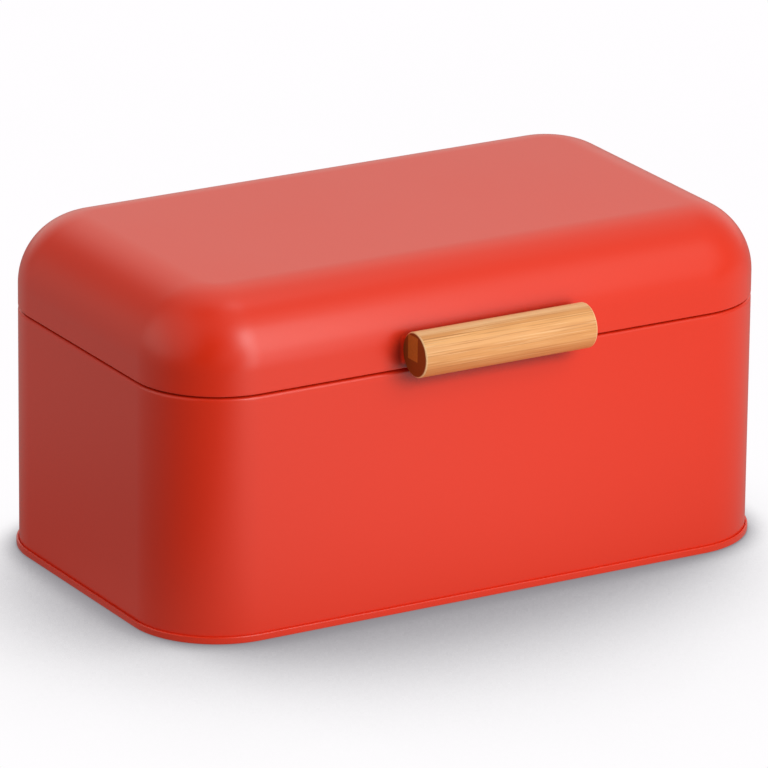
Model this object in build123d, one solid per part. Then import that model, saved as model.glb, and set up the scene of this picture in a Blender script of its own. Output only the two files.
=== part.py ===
from build123d import *
import math
import os

# A bread box of coated sheet steel: a seamed body, a drawn lid on two riveted hinges, a bamboo handle.
# Origin on the table under the middle of the box, +X to the right, +Z up, the handle at the front (-Y).

# Driving dimensions of the box, in millimetres and degrees
BOX_WIDTH = 303.0  # outside of the wall, left to right
BOX_DEPTH = 177.0  # outside of the wall, front to back
CORNER_RADIUS = 39.0  # upright corners, in plan
SEAM_HEIGHT = 111.2  # table to the line between body and lid
LID_SKIRT = 10.2  # upright wall of the lid above the seam
LID_EDGE_RADIUS = 31.0  # rounding from the skirt to the flat top
LID_OPENING = 100.0  # swing of the lid, in degrees
SHEET = 0.6  # coated steel sheet

# Body
RIM_HEIGHT = 3.4  # seamed rim round the foot
RIM_FOLD_FLAT = 0.1  # level strip along the top of the rim's fold
RIM_FOOT_ROUND = 0.9  # rounding of the rim at the table
SEAM_PLAY = 0.05  # wall to the folds that hold it
FLOOR_LIFT = 2.4  # table to the underside of the floor
PANEL_INSET = 16.0  # wall to the raised floor panel
PANEL_RISE = 1.4  # height of the raised floor panel
PANEL_FLANGE = 4.0  # strip of the panel that turns the corners with its step
BEND_RADIUS = 0.4  # inside of a pressed bend
NECK_ROUND = 0.2  # deburred edge of the neck
SHOULDER_FLAT = 0.1  # level strip between the shoulder's two bends
LAP_WIDTH = 8.0  # welded lap inside the back wall
LAP_ROOM = 1.0  # lap to the floor and to the shoulder

# Lid
SEAT_GAP = 0.8  # lid to shoulder when closed
NECK_PLAY = 0.8  # neck to the lid's hem
HEM_ROUND = 0.45  # folded edge of the hem
FASTENER_ROOM = 0.7  # hem and neck to the fasteners above them

# Handle
HANDLE_DIAMETER = 20.0
HANDLE_LENGTH = 86.0
HANDLE_FLAT = 0.6  # depth of the flat that seats on the lid
HANDLE_DROP = 1.0  # handle axis below the top of the skirt
HANDLE_END_ROUND = 1.0
SCREW_SPREAD = 50.0
SCREW_DIAMETER = 3.6
SCREW_BITE = 12.0  # length in the bamboo
SCREW_POINT = 2.5
SCREW_HEAD_DIAMETER = 6.8
SCREW_HEAD_HEIGHT = 2.4
SCREW_HEAD_ROUND = 1.2
SCREW_PLAY = 0.05
WASHER_DIAMETER = 7.4
WASHER_THICKNESS = 0.8
WASHER_PLAY = 0.03  # washer to the rounding of the lid

# Hinges
HINGE_LENGTH = 38.0
HINGE_END_ROOM = 8.5  # end of a hinge to the start of the upright corner
HINGE_CLEARANCE = 0.3  # knuckles to the walls
LEAF = 0.9  # hinge sheet
LEAF_MARGIN = 0.8  # lid leaf to the top of the skirt
LEAF_CORNER = 2.5
LEAF_SHY = 0.4  # leaf plate to the level of the axis
BODY_LEAF_DROP = 15.0  # axis to the lower edge of the body leaf
CENTRE_KNUCKLE = 14.0
KNUCKLE_GAP = 0.3  # between knuckles, along the axis
KNUCKLE_ROOM = 0.4  # round a knuckle of the other leaf
PIN_DIAMETER = 2.6
PIN_PLAY = 0.05
PIN_HEAD = 0.7
PIN_HEAD_DIAMETER = 4.0
PIN_HEAD_GAP = 0.1
PIN_HEAD_BEVEL = 0.3
STOP_REACH = 4.2  # axis to the tip of the stop lug
STOP_THICKNESS = 1.0
STOP_ROUND = 0.2
STOP_MARGIN = 1.5  # degrees left at full swing before the lug touches
RIVET_SPREAD = 26.0
RIVET_EDGE = 3.0  # rivet to the free edge of its leaf
RIVET_DIAMETER = 2.4
RIVET_HEAD_DIAMETER = 4.2
RIVET_HEAD_HEIGHT = 1.1
RIVET_HEAD_ROUND = 0.9
RIVET_TAIL_DIAMETER = 3.6
RIVET_TAIL_HEIGHT = 0.6
RIVET_PLAY = 0.05
DRILL_THROUGH = 4  # a drill's length through sheet, in sheets

# Heights and insets that follow from them
FRONT = -BOX_DEPTH / 2
BACK = BOX_DEPTH / 2
SKIRT_TOP = SEAM_HEIGHT + LID_SKIRT
LID_TOP = SKIRT_TOP + LID_EDGE_RADIUS
HOLLOW_EDGE_RADIUS = LID_EDGE_RADIUS - SHEET
LID_BOTTOM = SEAM_HEIGHT + SEAT_GAP / 2
SHOULDER_TOP = SEAM_HEIGHT - SEAT_GAP / 2
HEM = 2 * SHEET
NECK_INSET = HEM + NECK_PLAY
SHOULDER_ROUND = NECK_INSET - SHOULDER_FLAT - BEND_RADIUS
RIM_PROUD = HEM + SEAM_PLAY
RIM_FOLD_ROUND = (HEM - RIM_FOLD_FLAT) / 2
FLOOR_TOP = FLOOR_LIFT + SHEET

# The hinge axis, outside the back wall at the seam
KNUCKLE_BORE = PIN_DIAMETER / 2 + PIN_PLAY
KNUCKLE_RADIUS = KNUCKLE_BORE + LEAF
AXIS_STANDOFF = HINGE_CLEARANCE + KNUCKLE_RADIUS
AXIS_Y = BACK + AXIS_STANDOFF
AXIS_Z = SEAM_HEIGHT
LID_LEAF_RISE = LID_SKIRT - LEAF_MARGIN
LID_RIVET_Z = AXIS_Z + LID_LEAF_RISE - RIVET_EDGE
BODY_RIVET_Z = AXIS_Z - BODY_LEAF_DROP + RIVET_EDGE
HINGE_OFFSET = BOX_WIDTH / 2 - CORNER_RADIUS - HINGE_END_ROOM - HINGE_LENGTH / 2
HINGE_PLACES = (-HINGE_OFFSET, HINGE_OFFSET)
RIVET_PLACES = (-RIVET_SPREAD / 2, RIVET_SPREAD / 2)

# The handle's axis, and the washers inside the skirt, clear of the rounding above it
HANDLE_Y = FRONT - HANDLE_DIAMETER / 2 + HANDLE_FLAT
HANDLE_Z = SKIRT_TOP - HANDLE_DROP
SCREW_PLACES = (-SCREW_SPREAD / 2, SCREW_SPREAD / 2)
SCREW_HOLE_RADIUS = SCREW_DIAMETER / 2 + SCREW_PLAY
WASHER_ABOVE_SKIRT = WASHER_DIAMETER / 2 - HANDLE_DROP
ROUNDING_AT_WASHER = HOLLOW_EDGE_RADIUS - math.sqrt(HOLLOW_EDGE_RADIUS**2 - WASHER_ABOVE_SKIRT**2)
WASHER_SEAT = FRONT + SHEET + ROUNDING_AT_WASHER + WASHER_PLAY

# The hem and the neck end just below the lowest fastener inside the lid
LOWEST_FASTENER = min(HANDLE_Z - WASHER_DIAMETER / 2, LID_RIVET_Z - RIVET_TAIL_DIAMETER / 2)
HEM_TOP = LOWEST_FASTENER - FASTENER_ROOM
NECK_TOP = HEM_TOP


def slab(inset, bottom, top):
    """A solid of the box's plan, drawn in by an inset, between two heights."""
    plan = RectangleRounded(BOX_WIDTH - 2 * inset, BOX_DEPTH - 2 * inset, CORNER_RADIUS - inset)
    return Pos(0, 0, bottom) * extrude(plan, top - bottom)


def round_top(block, radius):
    """A block with the edges round its top rounded."""
    return fillet(block.edges().group_by(Axis.Z)[-1], radius)


def section(*corners):
    """A cross-section from its corners, each a distance across, a height and a rounding."""
    outline = Polyline([(across, height) for across, height, rounding in corners], close=True)
    face = make_face(outline)
    for across, height, rounding in corners:
        if rounding:
            corner = face.vertices().sort_by_distance((across, height, 0))[0]
            face = fillet(corner, rounding)
    return face


def carry_round(profile):
    """A section of sheet carried round the plan: straight sides extruded, upright corners revolved."""
    long_run = BOX_WIDTH / 2 - CORNER_RADIUS
    short_run = BOX_DEPTH / 2 - CORNER_RADIUS
    front = Plane(origin=(0, FRONT, 0), x_dir=(0, 1, 0), z_dir=(1, 0, 0))
    side = Plane(origin=(BOX_WIDTH / 2, -short_run, 0), x_dir=(-1, 0, 0), z_dir=(0, 1, 0))
    corner = Axis((long_run, -short_run, 0), (0, 0, 1))
    quarter = extrude(front * profile, long_run)
    quarter += revolve(front.offset(long_run) * profile, corner, 90)
    quarter += extrude(side * profile, short_run)
    half = quarter + mirror(quarter, Plane.YZ)
    return half + mirror(half, Plane.XZ)


def turned(profile):
    """A section of radius and height, turned about its height."""
    return revolve(Plane.XZ * profile, Axis.Z)


def along_x(x, y, z):
    """The place of a round piece whose axis runs along X."""
    return Pos(x, y, z) * Rot(0, 90, 0)


def along_y(x, y, z):
    """The place of a round piece whose axis runs along Y, its top towards the back."""
    return Pos(x, y, z) * Rot(-90, 0, 0)


def back_wall_rivet_holes(height):
    """Holes through the sheet of the back for the rivets of both hinges."""
    hole = Cylinder(RIVET_DIAMETER / 2 + RIVET_PLAY, DRILL_THROUGH * SHEET)
    places = [hinge + rivet for hinge in HINGE_PLACES for rivet in RIVET_PLACES]
    return [along_y(x, BACK - SHEET / 2, height) * hole for x in places]


def side_wall():
    """The body's wall: one band with a rounded shoulder, a drawn-in neck and a welded lap at the back."""
    neck_inside = NECK_INSET + SHEET
    shoulder_under = SHOULDER_TOP - SHEET
    wall = carry_round(
        section(
            (0, SHEET, 0),
            (0, SHOULDER_TOP, SHOULDER_ROUND),
            (NECK_INSET, SHOULDER_TOP, BEND_RADIUS),
            (NECK_INSET, NECK_TOP, NECK_ROUND),
            (neck_inside, NECK_TOP, NECK_ROUND),
            (neck_inside, shoulder_under, SHEET + BEND_RADIUS),
            (SHEET, shoulder_under, SHOULDER_ROUND - SHEET),
            (SHEET, SHEET, 0),
        )
    )
    lap_bottom = FLOOR_TOP + LAP_ROOM
    lap_top = shoulder_under - LAP_ROOM
    lap = Box(LAP_WIDTH, SHEET, lap_top - lap_bottom, align=(Align.CENTER, Align.MAX, Align.MIN))
    wall += Pos(0, BACK - SHEET, lap_bottom) * lap
    return wall - back_wall_rivet_holes(BODY_RIVET_Z)


def bottom_pan():
    """The floor: a raised panel, and an edge folded round the foot of the wall as a proud rim."""
    skirt_outside = SHEET + SEAM_PLAY
    skirt_inside = skirt_outside + SHEET
    step_outside = PANEL_INSET - SHEET
    panel_edge = PANEL_INSET + PANEL_FLANGE
    panel_bottom = FLOOR_LIFT + PANEL_RISE
    panel_top = FLOOR_TOP + PANEL_RISE
    pan = carry_round(
        section(
            (-RIM_PROUD, 0, RIM_FOOT_ROUND),
            (skirt_inside, 0, BEND_RADIUS),
            (skirt_inside, FLOOR_LIFT, BEND_RADIUS),
            (PANEL_INSET, FLOOR_LIFT, BEND_RADIUS),
            (PANEL_INSET, panel_bottom, BEND_RADIUS),
            (panel_edge, panel_bottom, 0),
            (panel_edge, panel_top, 0),
            (step_outside, panel_top, SHEET + BEND_RADIUS),
            (step_outside, FLOOR_TOP, BEND_RADIUS),
            (skirt_outside, FLOOR_TOP, SHEET),
            (skirt_outside, SHEET, 0),
            (-SEAM_PLAY, SHEET, 0),
            (-SEAM_PLAY, RIM_HEIGHT, RIM_FOLD_ROUND),
            (-RIM_PROUD, RIM_HEIGHT, RIM_FOLD_ROUND),
        )
    )
    return pan + slab(panel_edge, panel_bottom, panel_top)


def lid_shell():
    """The drawn lid: a hem folded inside the lower edge, a skirt, a large rounding and a flat top."""
    hem = carry_round(
        section(
            (0, LID_BOTTOM, HEM_ROUND),
            (HEM, LID_BOTTOM, HEM_ROUND),
            (HEM, HEM_TOP, HEM_ROUND),
            (0, HEM_TOP, 0),
        )
    )
    crown = round_top(slab(0, HEM_TOP, LID_TOP), LID_EDGE_RADIUS)
    crown -= round_top(slab(SHEET, HEM_TOP, LID_TOP - SHEET), HOLLOW_EDGE_RADIUS)
    screw_hole = Cylinder(SCREW_HOLE_RADIUS, DRILL_THROUGH * SHEET)
    screw_holes = [along_y(x, FRONT + SHEET / 2, HANDLE_Z) * screw_hole for x in SCREW_PLACES]
    return hem + crown - screw_holes - back_wall_rivet_holes(LID_RIVET_Z)


def handle_bar():
    """The bamboo dowel, with softened ends, a narrow flat at the back and two pilot holes."""
    bar = Cylinder(HANDLE_DIAMETER / 2, HANDLE_LENGTH)
    bar = fillet(bar.edges().filter_by(GeomType.CIRCLE), HANDLE_END_ROUND)
    bar = along_x(0, HANDLE_Y, HANDLE_Z) * bar
    bar = split(bar, Plane(origin=(0, FRONT, 0), z_dir=(0, -1, 0)), Keep.TOP)
    pilot_depth = SCREW_BITE + SCREW_PLAY
    pilot = Cylinder(SCREW_HOLE_RADIUS, pilot_depth, align=(Align.CENTER, Align.CENTER, Align.MAX))
    return bar - [along_y(x, FRONT, HANDLE_Z) * pilot for x in SCREW_PLACES]


def handle_screw(x):
    """A round-headed screw from inside the lid into the bamboo."""
    shank = SCREW_DIAMETER / 2
    head = SCREW_HEAD_DIAMETER / 2
    head_seat = WASHER_SEAT + WASHER_THICKNESS
    tip = FRONT - SCREW_BITE - head_seat
    screw = turned(
        section(
            (0, tip, 0),
            (shank, tip + SCREW_POINT, 0),
            (shank, 0, 0),
            (head, 0, 0),
            (head, SCREW_HEAD_HEIGHT, SCREW_HEAD_ROUND),
            (0, SCREW_HEAD_HEIGHT, 0),
        )
    )
    return along_y(x, head_seat, HANDLE_Z) * screw


def handle_washer(x):
    """A flat washer between the screw head and the lid."""
    washer = extrude(Circle(WASHER_DIAMETER / 2) - Circle(SCREW_HOLE_RADIUS), WASHER_THICKNESS)
    return along_y(x, WASHER_SEAT, HANDLE_Z) * washer


def hinge_leaf(wall, reach, knuckles):
    """A leaf on the back wall: a plate with rivet holes, and a tongue rolled into each knuckle."""
    clear_of_knuckles = KNUCKLE_RADIUS + KNUCKLE_ROOM
    tongue = clear_of_knuckles - LEAF_SHY
    plate_height = reach - clear_of_knuckles
    plate = Pos(0, clear_of_knuckles + plate_height / 2) * Rectangle(HINGE_LENGTH, plate_height)
    plate = fillet(plate.vertices().group_by(Axis.Y)[-1], LEAF_CORNER)
    plate += [Pos(x, LEAF_SHY + tongue / 2) * Rectangle(length, tongue) for x, length in knuckles]
    rivet_hole = Circle(RIVET_DIAMETER / 2 + RIVET_PLAY)
    plate -= [Pos(x, reach - RIVET_EDGE) * rivet_hole for x in RIVET_PLACES]
    roll = Circle(KNUCKLE_RADIUS) - Circle(KNUCKLE_BORE)
    rolls = [along_x(x, AXIS_Y, AXIS_Z) * extrude(roll, length / 2, both=True) for x, length in knuckles]
    return extrude(wall * plate, LEAF) + rolls


def body_leaf():
    """The lower leaf, with a knuckle at each end."""
    downwards = Plane(origin=(0, BACK, AXIS_Z), x_dir=(1, 0, 0), z_dir=(0, 1, 0))
    end_knuckle = (HINGE_LENGTH - CENTRE_KNUCKLE) / 2 - KNUCKLE_GAP
    end_place = (HINGE_LENGTH - end_knuckle) / 2
    return hinge_leaf(downwards, BODY_LEAF_DROP, [(-end_place, end_knuckle), (end_place, end_knuckle)])


def lid_leaf():
    """The upper leaf, with one knuckle in the middle and a lug that stops the lid past upright."""
    upwards = Plane(origin=(0, BACK, AXIS_Z), x_dir=(-1, 0, 0), z_dir=(0, 1, 0))
    leaf = hinge_leaf(upwards, LID_LEAF_RISE, [(0, CENTRE_KNUCKLE)])
    touch = math.radians(LID_OPENING + STOP_MARGIN)
    drop = (STOP_REACH * math.cos(touch) + AXIS_STANDOFF - LEAF) / math.sin(touch)
    root = KNUCKLE_RADIUS - LEAF / 2
    lug = section(
        (root, -drop, 0),
        (STOP_REACH, -drop, STOP_ROUND),
        (STOP_REACH, STOP_THICKNESS - drop, STOP_ROUND),
        (root, STOP_THICKNESS - drop, 0),
    )
    across = Plane(origin=(0, AXIS_Y, AXIS_Z), x_dir=(0, 1, 0), z_dir=(1, 0, 0))
    return leaf + extrude(across * lug, CENTRE_KNUCKLE / 2, both=True)


def hinge_pin():
    """The pin, with a bevelled head formed at each end."""
    shaft = PIN_DIAMETER / 2
    head = PIN_HEAD_DIAMETER / 2
    shoulder = HINGE_LENGTH / 2 + PIN_HEAD_GAP
    end = shoulder + PIN_HEAD
    pin = turned(
        section(
            (0, -end, 0),
            (head - PIN_HEAD_BEVEL, -end, 0),
            (head, PIN_HEAD_BEVEL - end, 0),
            (head, -shoulder, 0),
            (shaft, -shoulder, 0),
            (shaft, shoulder, 0),
            (head, shoulder, 0),
            (head, end - PIN_HEAD_BEVEL, 0),
            (head - PIN_HEAD_BEVEL, end, 0),
            (0, end, 0),
        )
    )
    return along_x(0, AXIS_Y, AXIS_Z) * pin


def leaf_rivets(height):
    """The two rivets of a leaf: a round head outside, a shank through leaf and wall, a set tail inside."""
    shank = RIVET_DIAMETER / 2
    head = RIVET_HEAD_DIAMETER / 2
    tail = RIVET_TAIL_DIAMETER / 2
    grip = SHEET + LEAF
    rivet = turned(
        section(
            (0, -RIVET_TAIL_HEIGHT, 0),
            (tail, -RIVET_TAIL_HEIGHT, 0),
            (tail, 0, 0),
            (shank, 0, 0),
            (shank, grip, 0),
            (head, grip, 0),
            (head, grip + RIVET_HEAD_HEIGHT, RIVET_HEAD_ROUND),
            (0, grip + RIVET_HEAD_HEIGHT, 0),
        )
    )
    return Part() + [along_y(x, BACK - SHEET, height) * rivet for x in RIVET_PLACES]


pieces = {
    "side_wall": side_wall(),
    "bottom_pan": bottom_pan(),
    "lid_shell": lid_shell(),
    "handle_bar": handle_bar(),
}
for side, screw_x, hinge_x in zip(("left", "right"), SCREW_PLACES, HINGE_PLACES):
    pieces[f"handle_screw_{side}"] = handle_screw(screw_x)
    pieces[f"handle_washer_{side}"] = handle_washer(screw_x)
    pieces[f"hinge_{side}_body_leaf"] = Pos(hinge_x, 0, 0) * body_leaf()
    pieces[f"hinge_{side}_lid_leaf"] = Pos(hinge_x, 0, 0) * lid_leaf()
    pieces[f"hinge_{side}_pin"] = Pos(hinge_x, 0, 0) * hinge_pin()
    pieces[f"hinge_{side}_body_rivets"] = Pos(hinge_x, 0, 0) * leaf_rivets(BODY_RIVET_Z)
    pieces[f"hinge_{side}_lid_rivets"] = Pos(hinge_x, 0, 0) * leaf_rivets(LID_RIVET_Z)

os.makedirs("parts", exist_ok=True)
for name, piece in pieces.items():
    export_step(piece, f"parts/{name}.step")
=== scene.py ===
"""A red bread box of coated sheet steel with a hinged lid and a bamboo handle, dressed over its frame."""
import logging
import math
from collections.abc import Sequence
from dataclasses import dataclass
from enum import Enum
from typing import Any

import bmesh
import bpy
from mathutils import Matrix, Vector


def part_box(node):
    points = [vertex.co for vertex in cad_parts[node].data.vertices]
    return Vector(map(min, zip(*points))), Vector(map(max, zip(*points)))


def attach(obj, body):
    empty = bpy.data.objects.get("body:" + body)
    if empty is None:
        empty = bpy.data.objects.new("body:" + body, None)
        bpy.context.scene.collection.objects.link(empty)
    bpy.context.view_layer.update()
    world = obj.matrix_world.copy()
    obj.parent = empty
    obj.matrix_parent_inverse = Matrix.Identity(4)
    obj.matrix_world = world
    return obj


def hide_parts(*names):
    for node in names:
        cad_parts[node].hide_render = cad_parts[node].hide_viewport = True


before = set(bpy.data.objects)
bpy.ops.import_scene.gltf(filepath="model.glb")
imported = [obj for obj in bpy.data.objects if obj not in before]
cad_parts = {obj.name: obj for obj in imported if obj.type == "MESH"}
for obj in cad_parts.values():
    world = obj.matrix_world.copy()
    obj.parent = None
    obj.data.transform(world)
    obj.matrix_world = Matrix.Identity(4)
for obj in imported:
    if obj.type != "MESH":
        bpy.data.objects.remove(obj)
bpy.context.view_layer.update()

LOG = logging.getLogger("bread_box")
MM = 0.001
WELD = 0.0005 * MM
QUARTER_TURN = math.pi / 2
SHARP_EDGE = math.radians(38)
LARGE_ROUND = 10 * MM
LARGE_ROUND_STEP = math.radians(3)
SMALL_ROUND_STEP = math.radians(15)
FEWEST_ROUND_STEPS = 3
FLOAT_SOCKET = "NodeSocketFloat"
COLOUR_SOCKET = "NodeSocketColor"
VECTOR_SOCKET = "NodeSocketVector"

Colour = tuple[float, float, float, float]
Triple = tuple[float, float, float]
Range = tuple[float, float]
Fade = tuple[float, float, float, float]
Section = list[tuple[float, float]]
Socket = bpy.types.NodeSocket
Outputs = bpy.types.NodeOutputs
Mesh = bmesh.types.BMesh
Ring = Sequence[bmesh.types.BMVert]

# Where a noise has most of its values
NOISE_RANGE: Range = (0.3, 0.7)


class Body(Enum):
    """The bodies of the frame that pieces ride on."""

    STAND = "body"
    LID = "lid"


class Slot(Enum):
    """The record's material slots."""

    RED_COAT = "red_coat"
    BAMBOO = "bamboo"
    PLATED_STEEL = "plated_steel"


class Side(Enum):
    """The two ends of the box, as in the names of its paired nodes."""

    LEFT = "left"
    RIGHT = "right"


@dataclass(frozen=True)
class Extent:
    """The box round a node of the frame, at rest."""

    low: Vector
    high: Vector

    @classmethod
    def of(cls, node: str) -> "Extent":
        """Reads the box of a node."""
        return cls(*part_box(node))

    @property
    def size(self) -> Vector:
        """Lengths of the box along the axes."""
        return self.high - self.low

    @property
    def middle(self) -> Vector:
        """Centre of the box."""
        return (self.low + self.high) / 2


class Graph:
    """A node tree that is filled node by node, from plain values and from sockets."""

    def __init__(self, tree: bpy.types.NodeTree) -> None:
        """Keeps the tree to fill."""
        self.tree = tree

    def add(self, kind: str, inputs: dict[str | int, Any] | None = None, **settings: Any) -> bpy.types.Node:
        """Adds a node.

        Args:
            kind: Blender's name for the type of node.
            inputs: values, or sockets to link, by the name or number of the input.
            settings: properties of the node itself.

        Returns:
            The new node.
        """
        node = self.tree.nodes.new(kind)
        for name, value in settings.items():
            setattr(node, name, value)
        for name, value in (inputs or {}).items():
            if isinstance(value, bpy.types.NodeSocket):
                self.tree.links.new(value, node.inputs[name])
            else:
                node.inputs[name].default_value = value
        return node

    def math(self, operation: str, *values: Any) -> Socket:
        """Works out a value from one, two or three others."""
        return self.add("ShaderNodeMath", dict(enumerate(values)), operation=operation).outputs[0]

    def vector(self, operation: str, *vectors: Any) -> Socket:
        """Works out a vector from one or two others."""
        return self.add("ShaderNodeVectorMath", dict(enumerate(vectors)), operation=operation).outputs[0]

    def scaled(self, vector: Any, factor: Any) -> Socket:
        """Multiplies a vector or a colour by one factor."""
        return self.add("ShaderNodeVectorMath", {0: vector, "Scale": factor}, operation="SCALE").outputs[0]

    def parts(self, vector: Any) -> Outputs:
        """Splits a vector into X, Y and Z."""
        return self.add("ShaderNodeSeparateXYZ", {0: vector}).outputs

    def fade(self, value: Any, start: float, end: float, low: float = 0.0, high: float = 1.0) -> Socket:
        """Goes softly from the low result to the high one while the value goes from start to end."""
        inputs = {"Value": value, "From Min": start, "From Max": end, "To Min": low, "To Max": high}
        return self.add("ShaderNodeMapRange", inputs, interpolation_type="SMOOTHSTEP").outputs[0]

    def blend(self, share: Any, first: Any, second: Any) -> Socket:
        """Blends a share of the second colour into the first."""
        return self.add("ShaderNodeMix", {0: share, 6: first, 7: second}, data_type="RGBA").outputs[2]

    def noise(self, place: Any, scale: Any, detail: float = 2.0, roughness: float = 0.5) -> Socket:
        """Makes soft noise from 0 to 1, with the scale in lumps to the metre."""
        inputs = {"Vector": place, "Scale": scale, "Detail": detail, "Roughness": roughness}
        return self.add("ShaderNodeTexNoise", inputs).outputs["Fac"]

    def bump(self, height: Socket, relief: float, strength: float) -> Socket:
        """Leans the surface's direction by a height, of which 1 is as high as the relief."""
        inputs = {"Strength": strength, "Distance": relief, "Height": height}
        return self.add("ShaderNodeBump", inputs).outputs[0]

    def open_sky(self, lean: Any, distance: Any, samples: int) -> Socket:
        """Measures how much light a place gets past the pieces close by.

        Args:
            lean: where most light comes from, added to the surface's own direction.
            distance: how far away a piece can be and still count.
            samples: rays for each place.

        Returns:
            The socket with the open share.
        """
        upright = self.add("ShaderNodeNewGeometry").outputs["Normal"]
        towards = self.vector("NORMALIZE", self.vector("ADD", upright, lean))
        inputs = {"Distance": distance, "Normal": towards}
        return self.add("ShaderNodeAmbientOcclusion", inputs, samples=samples).outputs["AO"]


class Effect(Graph):
    """A shader node group with named inputs and outputs."""

    def __init__(self, name: str, takes: dict[str, str], gives: dict[str, str]) -> None:
        """Makes the empty group.

        Args:
            name: name of the group.
            takes: types of the inputs by name.
            gives: types of the outputs by name.
        """
        super().__init__(bpy.data.node_groups.new(name, "ShaderNodeTree"))
        for label, kind in takes.items():
            self.tree.interface.new_socket(label, in_out="INPUT", socket_type=kind)
        for label, kind in gives.items():
            self.tree.interface.new_socket(label, in_out="OUTPUT", socket_type=kind)
        self.taken = self.add("NodeGroupInput").outputs
        self.given = self.add("NodeGroupOutput").inputs

    def give(self, label: str, socket: Socket) -> None:
        """Links a result to an output of the group."""
        self.tree.links.new(socket, self.given[label])

    def place(self, graph: Graph, **inputs: Any) -> Outputs:
        """Places the group in a material, with values or sockets for its inputs."""
        return graph.add("ShaderNodeGroup", inputs, node_tree=self.tree).outputs


class Effects:
    """The shader groups that the finishes use, each built once."""

    ridge: Range = (0.52, 0.62)
    unbroken: Range = (0.42, 0.62)
    sheltered: Range = (0.16, 0.62)
    shelter_rays: int = 6
    clear_of_table: Range = (10 * MM, 25 * MM)

    def __init__(self) -> None:
        """Builds the groups."""
        self.mottle = self._mottle()
        self.edge_wear_and_highlight = self._edge_wear()
        self.relief = self._relief()
        self.painted_shade = self._lee()

    def _mottle(self) -> Effect:
        """Makes a colour and a value that drift a little over the surface.

        Returns:
            The group.
        """
        takes = {"Place": VECTOR_SOCKET, "Colour": COLOUR_SOCKET}
        takes |= dict.fromkeys(("Scale", "Amount"), FLOAT_SOCKET)
        effect = Effect("mottle", takes, {"Colour": COLOUR_SOCKET, "Drift": FLOAT_SOCKET})
        taken = effect.taken
        drift = effect.noise(taken["Place"], taken["Scale"], detail=5.0, roughness=0.6)
        swing = effect.math("MULTIPLY_ADD", drift, 2.0, -1.0)
        gain = effect.math("MULTIPLY_ADD", swing, taken["Amount"], 1.0)
        effect.give("Colour", effect.scaled(taken["Colour"], gain))
        effect.give("Drift", drift)
        return effect

    def _edge_wear(self) -> Effect:
        """Makes a broken mask along the edges that stand out, for wear and for a painted highlight there.

        Returns:
            The group.
        """
        takes = {"Place": VECTOR_SOCKET, "Scale": FLOAT_SOCKET, "Amount": FLOAT_SOCKET}
        effect = Effect("edge_wear_and_highlight", takes, {"Mask": FLOAT_SOCKET})
        taken = effect.taken
        pointed = effect.add("ShaderNodeNewGeometry").outputs["Pointiness"]
        lumps = effect.noise(taken["Place"], taken["Scale"], detail=4.0)
        fades = effect.fade(pointed, *self.ridge), effect.fade(lumps, *self.unbroken)
        rubbed_and_lit = effect.math("MULTIPLY", *fades)
        effect.give("Mask", effect.math("MULTIPLY", rubbed_and_lit, taken["Amount"]))
        return effect

    def _relief(self) -> Effect:
        """Makes a height from fine grain on broad ripples.

        Returns:
            The group.
        """
        takes = {"Place": VECTOR_SOCKET} | dict.fromkeys(("Fine", "Broad", "Ripple"), FLOAT_SOCKET)
        effect = Effect("relief", takes, {"Height": FLOAT_SOCKET})
        taken = effect.taken
        grain = effect.noise(taken["Place"], taken["Fine"], detail=2.0)
        ripple = effect.noise(taken["Place"], taken["Broad"], detail=1.0)
        effect.give("Height", effect.math("MULTIPLY_ADD", ripple, taken["Ripple"], grain))
        return effect

    def _lee(self) -> Effect:
        """Makes a mask of painted shade: the places that a piece close by keeps the light from, well clear
        of the table.

        Returns:
            The group.
        """
        takes = dict.fromkeys(("Place", "Lean"), VECTOR_SOCKET)
        takes |= dict.fromkeys(("Skip", "Reach"), FLOAT_SOCKET)
        effect = Effect("painted_shade", takes, {"Mask": FLOAT_SOCKET})
        taken = effect.taken
        near = effect.open_sky(taken["Lean"], taken["Skip"], self.shelter_rays)
        wide = effect.open_sky(taken["Lean"], taken["Reach"], self.shelter_rays)
        hidden = effect.fade(effect.math("SUBTRACT", near, wide), *self.sheltered)
        raised = effect.fade(effect.parts(taken["Place"])["Z"], *self.clear_of_table)
        effect.give("Mask", effect.math("MULTIPLY", hidden, raised))
        return effect


def new_material(name: str) -> tuple[bpy.types.Material, Graph, bpy.types.Node, Socket]:
    """Makes a material with a shader.

    Args:
        name: name of the material.

    Returns:
        The material, its nodes, its shader, and the socket with the place on the piece.
    """
    material = bpy.data.materials.new(name)
    material.use_nodes = True
    graph = Graph(material.node_tree)
    shader = material.node_tree.nodes["Principled BSDF"]
    place = graph.add("ShaderNodeTexCoord").outputs["Object"]
    return material, graph, shader, place


def join(graph: Graph, shader: bpy.types.Node, **sockets: Socket) -> None:
    """Links sockets to the shader's inputs, by their names with underscores for spaces."""
    for name, socket in sockets.items():
        graph.tree.links.new(socket, shader.inputs[name.replace("_", " ")])


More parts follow.
